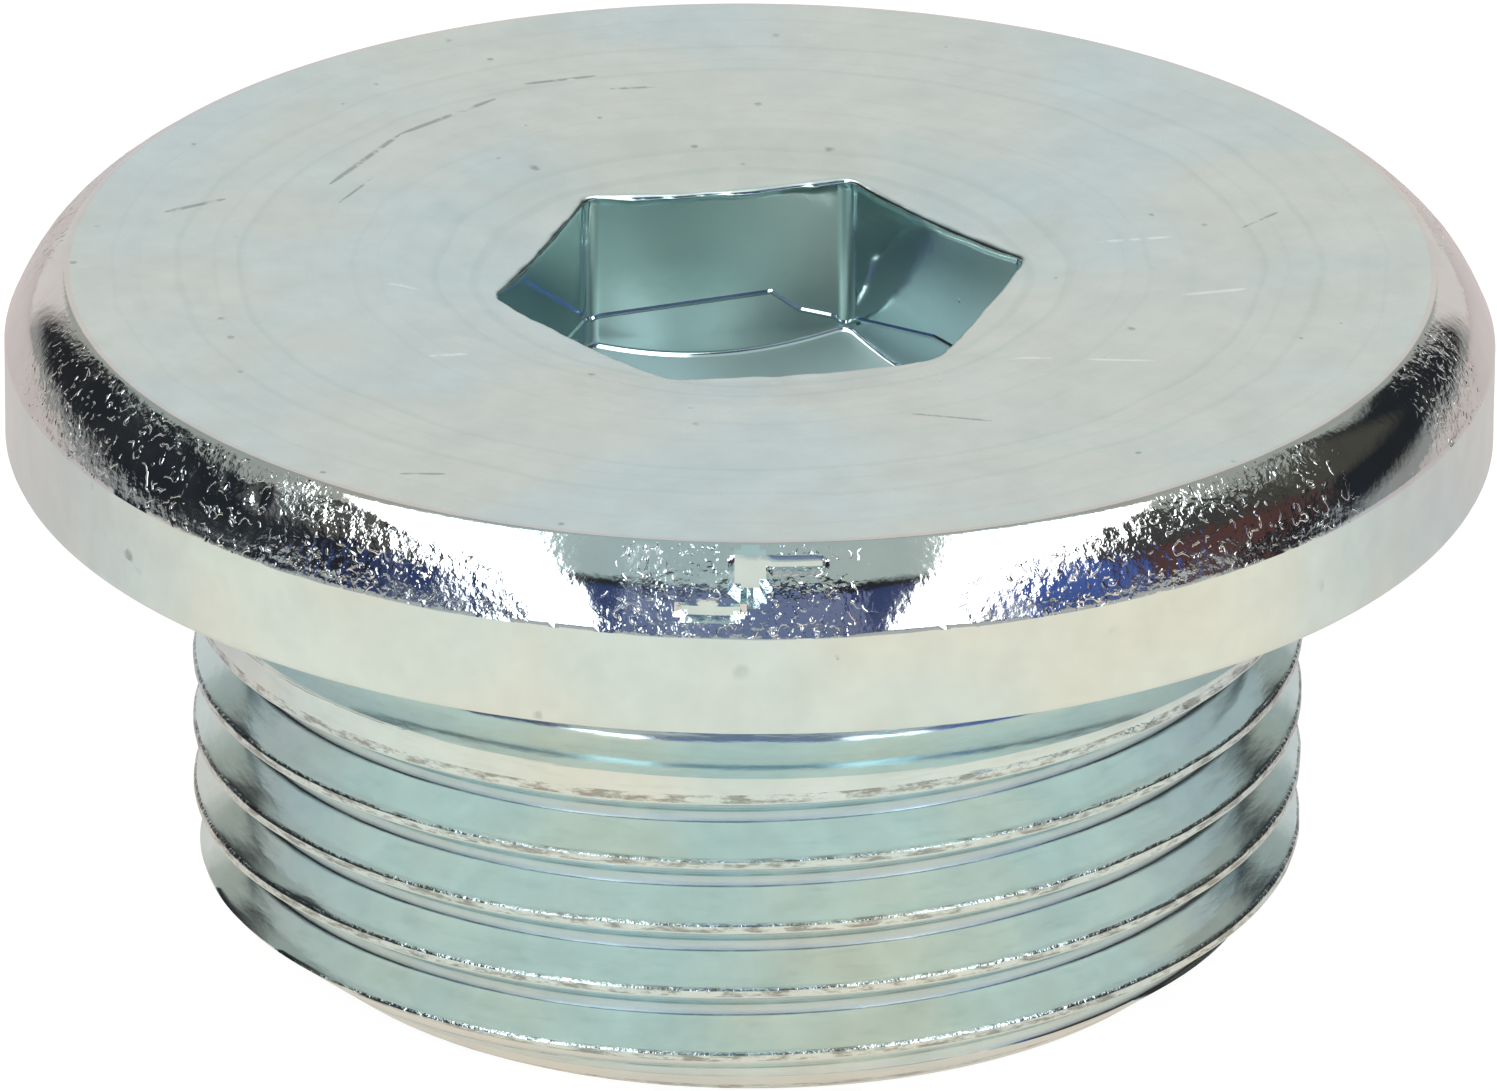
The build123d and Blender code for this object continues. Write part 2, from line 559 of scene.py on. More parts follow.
def add_neck(skin, sizes, front):
    """Undercut below the collar and its ramp up to the full shank."""
    n = sizes.columns
    turn = all_round(n)
    neck = sizes.neck_radius / MM
    fillet = sizes.neck_fillet / MM
    for angle in (90, 75, 60, 45, 30, 15, 0):
        a = math.radians(angle)
        radius = neck + fillet - fillet * math.cos(a)
        skin.grow(ring(radius, fillet * math.sin(a) - fillet, turn), THREAD)
    shoulder = -sizes.neck_length / MM
    reach = sizes.thread_radius / MM - neck
    # The surface leans out more and more: depth below the collar and lean in degrees
    upper, lower = np.linspace(fillet + 0.15, 2.0, 14), np.linspace(2.05, -shoulder, 16)
    depths = np.concatenate([upper, lower])
    lean = np.interp(depths, (0.8, 1.0, 2.2, -shoulder), (0, 18, 19, 70))
    steps = np.diff(depths) * np.tan(np.radians((lean[1:] + lean[:-1]) / 2))
    out = np.concatenate([[0.0], np.cumsum(steps)])
    out *= reach / out[-1]
    for depth, step in zip(depths[:-1], out[:-1]):
        z = np.full(n, -depth)
        groove = thread_radius_at(turn - front, z, sizes)
        drawn = 0.008 * (1 + ripple(ring(12, z * 5, turn), 2.2, 24))
        radius = soft_min(np.full(n, neck + step), groove, 0.03) - drawn * (step > 0.1)
        skin.grow(ring(radius, z, turn), THREAD)


def add_thread(skin, sizes, front):
    """Threaded shank: rows follow the helix and stop at the shoulder and the end."""
    n = sizes.columns
    turn = all_round(n)
    pitch = sizes.thread_pitch / MM
    crest = sizes.thread_radius / MM
    shoulder = -sizes.neck_length / MM
    # Drops of a turn's rows below its groove's middle, and which of them are worn or deep
    offsets = (
        -0.75, -0.715, -0.685, -0.655, -0.62, -0.43, -0.28, -0.19, -0.09, 0.0,
        0.1, 0.155, 0.21, 0.38, 0.53, 0.585, 0.62, 0.65, 0.68, 0.715,
    )
    per_turn = len(offsets)
    crest_rows = (0, 1, 16, 17, 18, 19)
    root_rows = (8, 9, 10)
    margin = 0.015  # rows nearer to the shoulder or the end run into its ring
    end_radius = sizes.end_face_radius / MM
    slope = (crest - end_radius) / (sizes.chamfer_length / MM)
    top_radius = thread_radius_at(turn - front, np.full(n, shoulder), sizes)
    top_radius = soft_min(top_radius, np.full(n, crest - 0.01), 0.02)
    skin.grow(ring(top_radius, shoulder, turn), THREAD)
    top_ring = skin.last
    bottom_ring = skin.add(ring(end_radius, END, turn))
    base = FIRST_GROOVE + pitch * ((turn - front) % (2 * math.pi)) / (2 * math.pi)
    highest = int(math.ceil((shoulder - FIRST_GROOVE) / pitch)) + 1
    lowest = int(math.floor((END - FIRST_GROOVE) / pitch)) - 2
    rows = []
    for k in range(highest, lowest - 1, -1):
        for offset in offsets:
            z = base + k * pitch - offset
            inside = (z < shoulder - margin) & (z > END + margin)
            z_in = np.clip(z, END, shoulder)
            radius = thread_radius_at(turn - front, z_in, sizes)
            if inside.any():
                radius = worn(radius, z_in, turn, sizes)
            # The first crest is bruised, and a cone leads in at the end
            pebbles = 0.03 * (1 + ripple(ring(12, z_in, turn), 0.3, 25))
            radius = radius - pebbles * (1 - smooth_step(0.15, 0.4, shoulder - z_in))
            cone = end_radius + (z_in - END) * slope
            radius = soft_min(radius, cone, 0.03)
            radius = np.where(z_in > END + 0.3, radius, np.minimum(radius, cone))
            ids = skin.add(ring(radius, z_in, turn))
            in_root = 1.0 if len(rows) % per_turn in root_rows else 0.0
            skin.note("root", ids[0], np.full(n, in_root))
            outside = np.where(z >= shoulder - margin, top_ring, bottom_ring)
            rows.append(np.where(inside, ids, outside))
    # Past the seam a row goes on as the one a turn further up
    seam = int(np.argmin((turn - front) % (2 * math.pi)))
    for k in range(len(rows) - 1):
        finish = CREST if k % per_turn in crest_rows else THREAD
        for i in range(n):
            j = (i + 1) % n
            up = k - per_turn if j == seam else k
            upper = rows[up][j] if up >= 0 else top_ring[j]
            lower = rows[up + 1][j] if up + 1 >= 0 else top_ring[j]
            skin.face([rows[k + 1][i], lower, upper, rows[k][i]], finish)
    skin.last = bottom_ring
    add_rings(skin, ((end_radius - 0.15, END), (7.0, END), (3.5, END), (1.0, END)), turn, FACED)
    skin.end_cap((0, 0, END), FACED)


def build_plug_mesh(sizes, front):
    """The plug as one closed mesh, from the socket's floor out and down to the end face."""
    skin = Skin()
    add_socket_and_dish(skin, sizes, front)
    add_collar(skin, sizes, front)
    add_neck(skin, sizes, front)
    add_thread(skin, sizes, front)
    return skin.mesh("plug")


# ---- Finishes ----


class Nodes:
    """Short calls for adding and linking nodes."""

    def __init__(self, tree):
        self.tree = tree

    def add(self, kind, links=None, **settings):
        """Adds a shader node, with a link or a value for each of its inputs that is given."""
        node = self.tree.nodes.new("ShaderNode" + kind)
        for key, value in settings.items():
            setattr(node, key, value)
        for key, value in (links or {}).items():
            socket = node.inputs[key]
            if isinstance(value, bpy.types.NodeSocket):
                self.tree.links.new(value, socket)
            else:
                socket.default_value = value
        return node

    def math(self, operation, *values):
        return self.add("Math", dict(enumerate(values)), operation=operation).outputs[0]

    def product(self, first, second):
        return self.math("MULTIPLY", first, second)

    def vector(self, operation, *values):
        """Outputs of vector maths: 0 is a vector, and 1 the value of a length or product."""
        links = dict(enumerate(values))
        return self.add("VectorMath", links, operation=operation).outputs

    def scaled(self, vector, factor):
        links = {0: vector, "Scale": factor}
        return self.add("VectorMath", links, operation="SCALE").outputs[0]

    def noise(self, place, scale, detail=2.0, rough=0.5):
        links = {"Vector": place, "Scale": scale, "Detail": detail, "Roughness": rough}
        return self.add("TexNoise", links).outputs["Fac"]

    def spread(self, value, low, high, to_low=0.0, to_high=1.0, smooth=False):
        """Maps low..high to to_low..to_high and stops there."""
        links = dict(enumerate((value, low, high, to_low, to_high)))
        kind = "SMOOTHSTEP" if smooth else "LINEAR"
        return self.add("MapRange", links, interpolation_type=kind).outputs[0]

    def mix(self, share, first, second, blend="MIX"):
        first = first if isinstance(first, bpy.types.NodeSocket) else (*first, 1.0)
        second = second if isinstance(second, bpy.types.NodeSocket) else (*second, 1.0)
        links = {0: share, 6: first, 7: second}
        return self.add("Mix", links, data_type="RGBA", blend_type=blend).outputs[2]

    def multiplied(self, first, second):
        return self.mix(1.0, first, second, "MULTIPLY")

    def attribute(self, name):
        return self.add("Attribute", attribute_name=name).outputs["Fac"]

    def hand_over(self, value, socket):
        """Links a value to an output of the group and returns the group's tree."""
        self.tree.links.new(value, socket)
        return self.tree


def fresh_nodes(owner):
    """Nodes of a new material or world, without those that it starts with."""
    owner.use_nodes = True
    owner.node_tree.nodes.clear()
    return Nodes(owner.node_tree)


VALUE, COLOUR = "NodeSocketFloat", "NodeSocketColor"
PLACE = ("Place", "NodeSocketVector", None)


def new_group(name, inputs, outputs):
    """A shader node group with named sockets: its nodes, its inputs and its outputs. The
    first input is always the place on the plug, in millimetres."""
    tree = bpy.data.node_groups.new(name, "ShaderNodeTree")
    for label, kind, value in (PLACE, *inputs):
        socket = tree.interface.new_socket(label, in_out="INPUT", socket_type=kind)
        if value is not None:
            socket.default_value = value
    for label, kind in outputs:
        tree.interface.new_socket(label, in_out="OUTPUT", socket_type=kind)
    given = tree.nodes.new("NodeGroupInput").outputs
    return Nodes(tree), given, tree.nodes.new("NodeGroupOutput").inputs


def plating_group():
    """Clear passivation: soft drifts of hue and small cloudy patches over a base colour."""
    make, given, result = new_group(
        "Plating tint",
        [("Base", COLOUR, None), ("Drift", VALUE, 1.0), ("Cloud", VALUE, 1.0)],
        [("Color", COLOUR)],
    )
    drift = make.spread(make.noise(given["Place"], 0.16, 2.0), 0.35, 0.65, smooth=True)
    tint = make.mix(drift, (0.95, 1.0, 1.03), (1.05, 1.0, 0.965))
    tint = make.mix(given["Drift"], (1, 1, 1), tint)
    colour = make.multiplied(given["Base"], tint)
    cloud = make.spread(make.noise(given["Place"], 0.9, 3.0, 0.6), 0.3, 0.7, 0.95, 1.04)
    shade = make.add("CombineColor", {0: cloud, 1: cloud, 2: cloud}).outputs[0]
    shade = make.mix(given["Cloud"], (1, 1, 1), shade)
    return make.hand_over(make.multiplied(colour, shade), result["Color"])


def pits_group():
    """Small sparse pits: their mask and a height that dips in them."""
    make, given, result = new_group(
        "Fine pits",
        [("Spacing", VALUE, 0.6), ("Share", VALUE, 0.2), ("Size", VALUE, 0.1)],
        [("Mask", VALUE), ("Height", VALUE)],
    )
    scale = make.math("DIVIDE", 1.0, given["Spacing"])
    wobble = make.add("TexNoise", {"Vector": given["Place"], "Scale": 6.0}).outputs["Color"]
    place = make.vector("ADD", given["Place"], make.scaled(wobble, 0.12))[0]
    cells = make.add("TexVoronoi", {"Vector": place, "Scale": scale})
    chosen = make.add("SeparateColor", {0: cells.outputs["Color"]}).outputs
    chance = make.math("LESS_THAN", chosen[0], given["Share"])
    size = make.product(make.product(given["Size"], scale), chosen[1])
    near = make.math("SUBTRACT", 1.0, make.math("DIVIDE", cells.outputs["Distance"], size))
    near = make.spread(near, 0.0, 0.7, smooth=True)
    mask = make.product(near, chance)
    make.hand_over(mask, result["Mask"])
    return make.hand_over(make.math("SUBTRACT", 1.0, mask), result["Height"])


def hairlines_group():
    """Short curved hairlines: the mask follows broken contour lines of a noise."""
    make, given, result = new_group(
        "Hairlines",
        [("Scale", VALUE, 3.0), ("Width", VALUE, 0.02), ("Share", VALUE, 0.5)],
        [("Mask", VALUE)],
    )
    field = make.noise(given["Place"], given["Scale"], 1.0)
    away = make.math("ABSOLUTE", make.math("SUBTRACT", field, 0.5))
    line = make.spread(make.math("DIVIDE", away, given["Width"]), 0.3, 1.0, 1.0, 0.0)
    pieces = make.noise(given["Place"], make.product(given["Scale"], 1.7), 1.0)
    limit = make.math("SUBTRACT", 0.72, make.product(given["Share"], 0.44))
    kept = make.math("GREATER_THAN", pieces, limit)
    return make.hand_over(make.product(line, kept), result["Mask"])


def scratch_group():
    """A straight scratch between two points: 1 on its line, 0 beyond its half width."""
    make, given, result = new_group(
        "Scratch",
        [("Start", *PLACE[1:]), ("End", *PLACE[1:]), ("Width", VALUE, 0.1)],
        [("Mask", VALUE)],
    )
    line = make.vector("SUBTRACT", given["End"], given["Start"])[0]
    reach = make.vector("SUBTRACT", given["Place"], given["Start"])[0]
    length_squared = make.vector("DOT_PRODUCT", line, line)[1]
    share = make.math("DIVIDE", make.vector("DOT_PRODUCT", reach, line)[1], length_squared)
    share = make.spread(share, 0.0, 1.0)
    gap = make.vector("SUBTRACT", reach, make.scaled(line, share))[0]
    gap = make.vector("LENGTH", gap)[1]
    taper = make.product(share, make.math("SUBTRACT", 1.0, share))
    width = make.product(given["Width"], make.spread(taper, 0.0, 0.12, 0.35, 1.0))
    mask = make.spread(make.math("DIVIDE", gap, width), 0.3, 1.0, 1.0, 0.0)
    return make.hand_over(mask, result["Mask"])


def turning_group():
    """Faint concentric marks of a facing cut: uneven rings round the axis."""
    make, given, result = new_group("Turning marks", [("Scale", VALUE, 3.0)], [("Height", VALUE)])
    parts = make.add("SeparateXYZ", {0: given["Place"]}).outputs
    flat = make.add("CombineXYZ", {0: parts["X"], 1: parts["Y"]}).outputs[0]
    radius = make.vector("LENGTH", flat)[1]
    wander = make.product(make.noise(given["Place"], 0.35, 1.0), 0.5)
    links = {"W": make.math("ADD", radius, wander), "Scale": given["Scale"], "Detail": 3.0}
    rings = make.add("TexNoise", links, noise_dimensions="1D")
    return make.hand_over(rings.outputs["Fac"], result["Height"])


class Finish:
    """A zinc finish under construction: a Principled shader with colour and bump layers."""

    def __init__(self, name, groups, base, drift=1.0, cloud=1.0):
        self.material = bpy.data.materials.new(name)
        self.make = fresh_nodes(self.material)
        self.groups = groups
        place = self.make.add("TexCoord").outputs["Object"]
        self.place = self.make.scaled(place, 1 / MM)
        tint = self.group("Plating tint", Base=(*base, 1.0), Drift=drift, Cloud=cloud)
        self.colour = tint["Color"]
        self.normal = None

    def group(self, name, **values):
        links = {"Place": self.place, **values}
        return self.make.add("Group", links, node_tree=self.groups[name]).outputs

    def shade(self, mask, factor):
        """Multiplies the colour by factor where mask is 1."""
        tone = self.make.mix(mask, (1, 1, 1), factor)
        self.colour = self.make.multiplied(self.colour, tone)

    def bump(self, height, distance):
        """Adds a layer of relief; distance is in metres."""
        links = {"Height": height, "Strength": 1.0, "Distance": distance}
        if self.normal is not None:
            links["Normal"] = self.normal
        self.normal = self.make.add("Bump", links).outputs[0]

    def finish(self, roughness):
        links = {"Base Color": self.colour, "Metallic": 1.0, "Roughness": roughness}
        shader = self.make.add("BsdfPrincipled", {**links, "Normal": self.normal})
        self.make.add("OutputMaterial", {"Surface": shader.outputs[0]})
        return self.material


def top_point(front, right, back):
    """Point of the top face in millimetres, so far to the right of and behind the axis seen
    from the front."""
    x = -right * math.sin(front) - back * math.cos(front)
    y = right * math.cos(front) - back * math.sin(front)
    return (x, y, TOP)


# Scratches of the top face: how far both ends are to the right of and behind the axis, and
# the half width, in millimetres
DARK_SCRATCHES = (
    (-9.1, 4.27, -7.63, 7.09, 0.09), (-7.63, 7.09, -5.6, 9.1, 0.10),
    (-4.95, 9.96, -3.43, 10.44, 0.09), (-3.09, 9.71, -2.11, 9.84, 0.07),
    (-12.62, 2.66, -11.35, 3.4, 0.10), (-7.3, -11.28, -6.36, -11.27, 0.07),
    (-8.9, 3.2, -8.2, 4.6, 0.05), (3.2, -7.9, 5.1, -8.3, 0.05), (10.6, 2.2, 11.4, 3.1, 0.06),
)
BRIGHT_SCRATCHES = (
    (7.52, 1.36, 9.02, 1.66, 0.09), (9.25, -1.5, 10.58, -1.15, 0.10),
    (-7.81, -1.14, -6.69, -1.44, 0.09), (-6.78, -5.05, -6.0, -4.93, 0.09),
    (5.1, -4.91, 6.4, -4.95, 0.07), (7.2, -5.0, 8.6, -5.06, 0.07),
)


def faced_zinc(groups, colours, front):
    """Turned faces: faint rings, sparse pits, and scratches on the top face."""
    zinc = Finish("Zinc on turned faces", groups, colours.plating)
    make = zinc.make
    pits = zinc.group("Fine pits", Spacing=0.9, Share=0.3, Size=0.16)
    zinc.shade(pits["Mask"], (0.62, 0.66, 0.66))
    turned = zinc.group("Turning marks", Scale=2.2)
    zinc.shade(make.spread(turned["Height"], 0.55, 0.75), (0.93, 0.95, 0.95))

    def scratched(scratches):
        """Mask of all the scratches of a table."""
        together = None
        for right_1, back_1, right_2, back_2, width in scratches:
            start, end = top_point(front, right_1, back_1), top_point(front, right_2, back_2)
            mask = zinc.group("Scratch", Start=start, End=end, Width=width)["Mask"]
            together = mask if together is None else make.math("MAXIMUM", together, mask)
        return together

    broken = make.spread(make.noise(zinc.place, 3.0, 3.0), 0.35, 0.5)
    zinc.shade(make.product(scratched(DARK_SCRATCHES), broken), (0.55, 0.58, 0.58))
    zinc.shade(make.product(scratched(BRIGHT_SCRATCHES), broken), (1.25, 1.22, 1.2))
    zinc.bump(turned["Height"], 0.000004)
    zinc.bump(pits["Height"], 0.00001)
    zinc.bump(make.noise(zinc.place, 2.0, 4.0), 0.000006)
    rough = make.spread(make.noise(zinc.place, 1.4, 3.0), 0.3, 0.7, 0.26, 0.36)
    return zinc.finish(rough)


def edge_zinc(groups, colours):
    """Pressed edge: smooth in places, and elsewhere hammered and scuffed by other parts."""
    zinc = Finish("Zinc on the pressed edge", groups, colours.edge)
    make = zinc.make
    amount = make.attribute("battered")
    grain = make.math("SUBTRACT", make.noise(zinc.place, 5.5, 2.0), 0.5)
    zinc.bump(make.product(grain, make.spread(amount, 0.1, 1.0, 0.1, 1.0)), 0.00003)
    share = make.spread(amount, 0.1, 0.6)
    scuffs = zinc.group("Fine pits", Spacing=0.3, Share=0.4, Size=0.09)
    lines = zinc.group("Hairlines", Scale=2.6, Width=0.035, Share=0.45)
    marks = make.math("MAXIMUM", scuffs["Mask"], lines["Mask"])
    zinc.bump(make.product(marks, share), 0.000016)
    dull = make.spread(make.noise(zinc.place, 0.8, 2.0), 0.45, 0.65)
    rough = make.product(dull, make.spread(amount, 0.1, 0.6))
    return zinc.finish(make.spread(rough, 0.0, 1.0, 0.07, 0.2))


def side_zinc(groups, colours):
    """The collar's side: smooth, with patches of wide shallow pits."""
    zinc = Finish("Zinc on the side", groups, colours.plating)
    pits = zinc.group("Fine pits", Spacing=0.5, Share=0.12, Size=0.3)
    patches = zinc.make.spread(zinc.make.noise(zinc.place, 0.5, 2.0), 0.5, 0.62)
    mask = zinc.make.product(pits["Mask"], patches)
    zinc.shade(mask, (0.6, 0.62, 0.62))
    zinc.bump(mask, -0.00002)
    zinc.bump(zinc.make.noise(zinc.place, 1.5, 3.0), 0.00001)
    return zinc.finish(0.2)


def thread_zinc(groups, colours):
    """Neck and thread: drawn along the turns, dull in the roots, with painted shade on the flanks
    along both sides of the roots.
    """
    zinc = Finish("Zinc on the thread", groups, colours.plating)
    make = zinc.make
    stretched = make.vector("MULTIPLY", zinc.place, (1.0, 1.0, 7.0))[0]
    drawn = make.noise(stretched, 0.9, 3.0)
    zinc.shade(make.spread(drawn, 0.55, 0.72), (0.92, 0.94, 0.94))
    root = make.attribute("root")
    # Painted shade: the flanks beside each root are darkened, broken up by noise
    border = make.product(make.spread(root, 0.1, 0.4), make.spread(root, 0.8, 0.5))
    broken = make.spread(make.noise(zinc.place, 1.1, 3.0), 0.35, 0.55)
    zinc.shade(make.product(border, broken), (0.5, 0.5, 0.5))
    zinc.bump(drawn, 0.000006)
    return zinc.finish(make.spread(root, 0.3, 0.9, 0.14, 0.5))


def crest_zinc(groups, colours):
    """Crests of the thread: rough, with dark worn patches."""
    zinc = Finish("Zinc on the crests", groups, colours.plating)
    make = zinc.make
    stretched = make.vector("MULTIPLY", zinc.place, (1.0, 1.0, 4.0))[0]
    zinc.shade(make.spread(make.noise(stretched, 1.6, 4.0, 0.7), 0.46, 0.6), (0.52, 0.49, 0.47))
    zinc.bump(make.noise(zinc.place, 5.0, 3.0, 0.6), 0.00004)
    return zinc.finish(0.2)


def socket_zinc(name, groups, tone, roughness, front, dull=None):
    """Pressed walls and floor of the socket: smooth, with painted glints at a few small pits,
    painted light on the right-hand walls, and, where dull is given, painted shade towards the
    floor's rim.
    """
    zinc = Finish(name, groups, tone, drift=0.5, cloud=0.5)
    make = zinc.make
    pits = zinc.group("Fine pits", Spacing=0.7, Share=0.3, Size=0.09)
    # Painted glints: the colour is made brighter in the small pits, which also dip in the relief
    zinc.shade(pits["Mask"], (2.2, 1.9, 1.8))
    # Painted light: the colour is made brighter on the right-hand walls, which reflect dark parts
    # of the room
    right = (-math.sin(front), math.cos(front), 0.0)
    across = make.vector("DOT_PRODUCT", zinc.place, right)[1]
    zinc.shade(make.spread(across, 2.0, 4.0), (1.35, 1.17, 1.14))
    if dull is not None:
        # Painted shade: the floor darkens towards its rim by the walls
        flat = make.vector("MULTIPLY", zinc.place, (1.0, 1.0, 0.0))[0]
        out = make.vector("LENGTH", flat)[1]
        zinc.shade(make.spread(out, 1.7, 3.1, smooth=True), dull)
    zinc.bump(pits["Height"], 0.00001)
    zinc.bump(make.noise(zinc.place, 1.2, 2.0), 0.000006)
    return zinc.finish(roughness)


SHARP_FROM = math.radians(28)  # edges that turn by less than this look smooth


class SCREWPLUG_OT_plug(Operator):
    """Build the zinc-plated plug in place of its plain CAD solid"""

    bl_idname = "screwplug.plug"
    bl_label = "Plug"

    def execute(self, context):
        scene = context.scene
        front = scene.plug_studio.azimuth
        mesh = build_plug_mesh(scene.plug_sizes, front)
        plug = bpy.data.objects.new("plug", mesh)
        scene.collection.objects.link(plug)
        groups = {
            "Plating tint": plating_group(),
            "Fine pits": pits_group(),
            "Hairlines": hairlines_group(),
            "Scratch": scratch_group(),
            "Turning marks": turning_group(),
        }
        colours = scene.plug_finish
        mesh.materials.append(faced_zinc(groups, colours, front))
        for build in (edge_zinc, side_zinc, thread_zinc, crest_zinc):
            mesh.materials.append(build(groups, colours))
        for name, tone, roughness, dull in (
            ("Zinc on the socket's walls", colours.socket, 0.1, None),
            ("Zinc at the foot of the walls", colours.plating, 0.1, None),
            ("Zinc on the socket's floor", colours.floor_with_painted_shade, 0.5, colours.floor_rim_painted_shade),
        ):
            mesh.materials.append(socket_zinc(name, groups, tone, roughness, front, dull))
        mesh.shade_smooth()
        mesh.set_sharp_from_angle(angle=SHARP_FROM)
        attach(plug, "root")
        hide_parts("plug_body")
        return {"FINISHED"}


# ---- Studio ----


def aim_camera(studio):
    """The camera's matrix: its place seen from the top face, then its pitch and roll."""
    azimuth, elevation = studio.azimuth, studio.elevation
    flat, height = math.cos(elevation), math.sin(elevation)
    from_plug = Vector((flat * math.cos(azimuth), flat * math.sin(azimuth), height))
    place = Vector((0, 0, top_z)) + from_plug * studio.distance
    inward = Vector((-math.cos(azimuth), -math.sin(azimuth), 0))
    forward = inward * math.cos(studio.pitch) - Vector((0, 0, math.sin(studio.pitch)))
    right = forward.cross(Vector((0, 0, 1))).normalized()
    up = right.cross(forward)
    c, s = math.cos(studio.roll), math.sin(studio.roll)
    right, up = right * c - up * s, right * s + up * c
    matrix = Matrix((right, up, -forward)).transposed().to_4x4()
    matrix.translation = place
    return matrix


def strip_light(name, corners, strength):
    """A rectangular light through four corners: two at its low end and two at its high end.
    It shines towards the origin; strength is how bright it looks."""
    low = (corners[0] + corners[1]) / 2
    high = (corners[2] + corners[3]) / 2
    wide = ((corners[1] - corners[0]) + (corners[3] - corners[2])) / 2
    centre = (low + high) / 2
    long_axis = (high - low).normalized()
    wide_axis = (wide - long_axis * wide.dot(long_axis)).normalized()
    facing = long_axis.cross(wide_axis)
    if facing.dot(centre) < 0:
        wide_axis = -wide_axis
        facing = -facing
    data = bpy.data.lights.new(name, "AREA")
    data.shape = "RECTANGLE"
    data.size = (high - low).length
    data.size_y = wide.length
    data.energy = strength * data.size * data.size_y * math.pi
    light = bpy.data.objects.new(name, data)
    matrix = Matrix((long_axis, wide_axis, facing)).transposed().to_4x4()
    matrix.translation = centre
    light.matrix_world = matrix
    bpy.context.scene.collection.objects.link(light)


def studio_floor(toward):
    """A white lit table. It looks white, and gives the plug a warmer and dimmer light, brighter in
    front of it than behind, with a painted shadow where that light fades close round it; from
    below it can be seen through."""
    half, gap = 1.5, 0.00002  # half the table's side, and the plug's height above it
    mesh = bpy.data.meshes.new("floor")
    z = end_z - gap
    corners = [(-half, -half, z), (half, -half, z), (half, half, z), (-half, half, z)]
    mesh.from_pydata(corners, [], [(0, 1, 2, 3)])
    floor = bpy.data.objects.new("floor", mesh)
    material = bpy.data.materials.new("Lit table")
    make = fresh_nodes(material)
    place = make.add("TexCoord").outputs["Object"]
    radius = make.vector("LENGTH", place)[1]
    ahead = make.vector("DOT_PRODUCT", place, toward)[1]
    in_front = make.spread(ahead, -0.015, 0.018, smooth=True)
    far = make.mix(in_front, (0.51, 0.43, 0.41), (0.80, 0.66, 0.52))
    # Painted shadow: the glow dims to a dark ring close round the plug, in place of the plug's
    # shadow on the table
    glow = make.mix(make.spread(radius, 0.009, 0.017, smooth=True), (0.28, 0.26, 0.25), far)
    path = make.add("LightPath")
    glow = make.mix(path.outputs["Is Camera Ray"], glow, (0.9, 0.9, 0.9))
    look = {"Base Color": (0.2, 0.2, 0.2, 1), "Roughness": 0.9}
    light = {"Emission Color": glow, "Emission Strength": 1.0}
    lit = make.add("BsdfPrincipled", {**look, **light})
    clear = make.add("BsdfTransparent")
    back = make.add("NewGeometry").outputs["Backfacing"]
    below = make.product(back, path.outputs["Is Camera Ray"])
    both = make.add("MixShader", {0: below, 1: lit.outputs[0], 2: clear.outputs[0]})
    make.add("OutputMaterial", {"Surface": both.outputs[0]})
    mesh.materials.append(material)
    return floor


ROOM_BASE = (0.022, 0.024, 0.028)  # colour between the parts of the room
# Parts of the room: angles round from the camera's side, angles above the horizon, how soft
# the borders are, and colour. Positive angles are to the right, and a part marked True is on
# both sides. Each covers those before it.
ROOM = (
    (True, -1, 181, 56, 91, 5, (0.48, 0.56, 0.53)),
    (True, -1, 76, -3, 15, 4, (0.52, 0.54, 0.53)),
    (True, 74, 150, -3, 6, 5, (0.34, 0.34, 0.33)),
    (True, -1, 66, 17, 47, 4, (0.04, 0.06, 0.16)),
    (True, -1, 17, 17, 46, 4, (0.19, 0.22, 0.36)),
    (False, 40, 64, 18, 44, 5, (0.075, 0.13, 0.40)),
    (False, 62, 104, 34, 66, 7, (0.06, 0.06, 0.058)),
    (False, 66, 98, 16, 33, 5, (0.11, 0.055, 0.05)),
    (False, -98, -48, 36, 54, 6, (0.11, 0.105, 0.10)),
    (False, 98, 128, 22, 44, 6, (0.08, 0.075, 0.062)),
    (True, 149, 181, -5, 54, 5, (0.78, 0.72, 0.68)),
    (True, 104, 135, 43, 62, 5, (0.42, 0.43, 0.39)),
    (True, 132, 146, 33, 62, 4, (0.42, 0.43, 0.39)),
    (True, 145, 162, 18, 62, 4, (0.42, 0.43, 0.39)),
)


def studio_world(azimuth):
    """The room round the table. The camera sees plain white instead."""
    world = bpy.data.worlds.new("studio")
    make = fresh_nodes(world)
    direction = make.add("TexCoord").outputs["Generated"]
    links = {"Vector": direction, "Angle": -azimuth}
    turned = make.add("VectorRotate", links, rotation_type="Z_AXIS").outputs[0]
    parts = make.add("SeparateXYZ", {0: turned}).outputs
    around = make.math("DEGREES", make.math("ARCTAN2", parts["Y"], parts["X"]))
    either_side = make.math("ABSOLUTE", around)
    above = make.math("DEGREES", make.math("ARCSINE", parts["Z"]))

    def between(value, low, high, soft):
        rise = make.spread(value, low - soft / 2, low + soft / 2)
        fall = make.spread(value, high - soft / 2, high + soft / 2, 1.0, 0.0)
        return make.product(rise, fall)

    colour = ROOM_BASE
    for both_sides, start, end, low, high, soft, tone in ROOM:
        share = between(above, low, high, soft)
        if end < 180:
            place = either_side if both_sides else around
            share = make.product(share, between(place, start, end, soft))
        elif start > 0:
            beyond = make.spread(either_side, start - soft / 2, start + soft / 2)
            share = make.product(share, beyond)
        colour = make.mix(share, colour, tone)
    below = make.spread(above, -1.0, 0.0, 1.0, 0.0)
    colour = make.mix(below, colour, (0.9, 0.8, 0.7))
    path = make.add("LightPath")
    seen = make.mix(path.outputs["Is Camera Ray"], colour, (1, 1, 1))
    background = make.add("Background", {"Color": seen, "Strength": 1.0})
    make.add("OutputWorld", {"Surface": background.outputs[0]})
    return world


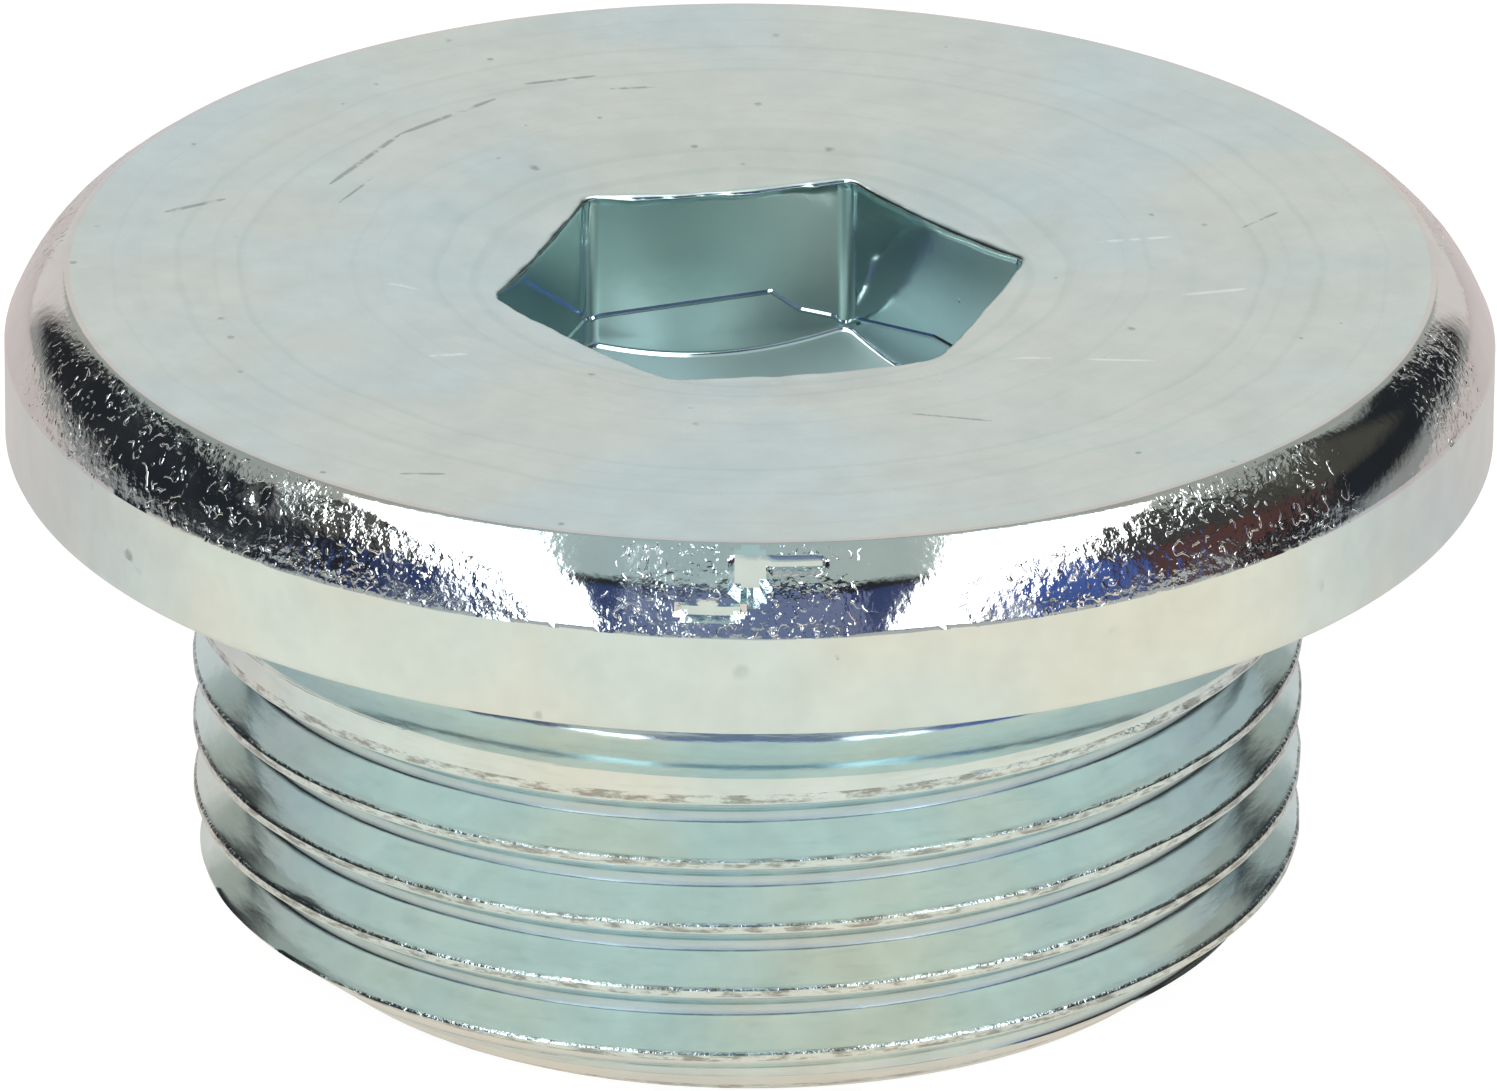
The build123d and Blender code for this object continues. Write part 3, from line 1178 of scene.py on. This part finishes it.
class SCREWPLUG_OT_studio(Operator):
    """Build the pale floor, the lights and the camera"""

    bl_idname = "screwplug.studio"
    bl_label = "Studio"

    def execute(self, context):
        scene = context.scene
        studio = scene.plug_studio
        data = bpy.data.cameras.new("camera")
        data.sensor_width = SENSOR_WIDTH
        data.lens = SENSOR_WIDTH * FOCAL_LENGTH / PICTURE_WIDTH
        data.clip_start = 0.01
        data.clip_end = 10.0
        camera = bpy.data.objects.new("camera", data)
        camera.matrix_world = aim_camera(studio)
        scene.collection.objects.link(camera)
        scene.camera = camera
        scene.view_settings.view_transform = "Standard"

        toward = Vector((math.cos(studio.azimuth), math.sin(studio.azimuth), 0))
        right = Vector((-math.sin(studio.azimuth), math.cos(studio.azimuth), 0))
        scene.collection.objects.link(studio_floor(toward))

        def spot(x, y, height):
            """A point at a height, x times that towards the camera and y times to the right."""
            return (toward * x + right * y + Vector((0, 0, 1))) * height

        brightness = 3.0
        for name, side in (("left strip", -1), ("right strip", 1)):
            corners = (
                spot(3.05, side * 1.12, 0.2),
                spot(2.65, side * 1.86, 0.2),
                spot(-0.3, side * 0.2, 0.45),
                spot(-0.257, side * 0.594, 0.45),
            )
            strip_light(name, corners, brightness)

        scene.world = studio_world(studio.azimuth)
        return {"FINISHED"}


class SCREWPLUG_PT_sidebar(Panel):
    """Sizes, finish and studio of the screw plug"""

    bl_idname = "SCREWPLUG_PT_sidebar"
    bl_label = "Screw Plug"
    bl_space_type = "VIEW_3D"
    bl_region_type = "UI"
    bl_category = "Screw Plug"

    def draw(self, context):
        scene = context.scene
        layout = self.layout
        for group, operator in (
            (scene.plug_sizes, "screwplug.plug"),
            (scene.plug_finish, None),
            (scene.plug_studio, "screwplug.studio"),
        ):
            box = layout.box()
            for name in group.bl_rna.properties.keys():
                if name not in ("rna_type", "name"):
                    box.prop(group, name)
            if operator:
                box.operator(operator)


GROUPS = {"plug_sizes": PlugSizes, "plug_finish": ZincFinish, "plug_studio": StudioSettings}
CLASSES = (*GROUPS.values(), SCREWPLUG_OT_plug, SCREWPLUG_OT_studio, SCREWPLUG_PT_sidebar)


def register():
    for cls in CLASSES:
        bpy.utils.register_class(cls)
    for name, group in GROUPS.items():
        setattr(bpy.types.Scene, name, PointerProperty(type=group))


def unregister():
    for name in GROUPS:
        delattr(bpy.types.Scene, name)
    for cls in reversed(CLASSES):
        bpy.utils.unregister_class(cls)


def main():
    register()
    bpy.ops.screwplug.plug()
    bpy.ops.screwplug.studio()


if __name__ == "__main__":
    main()
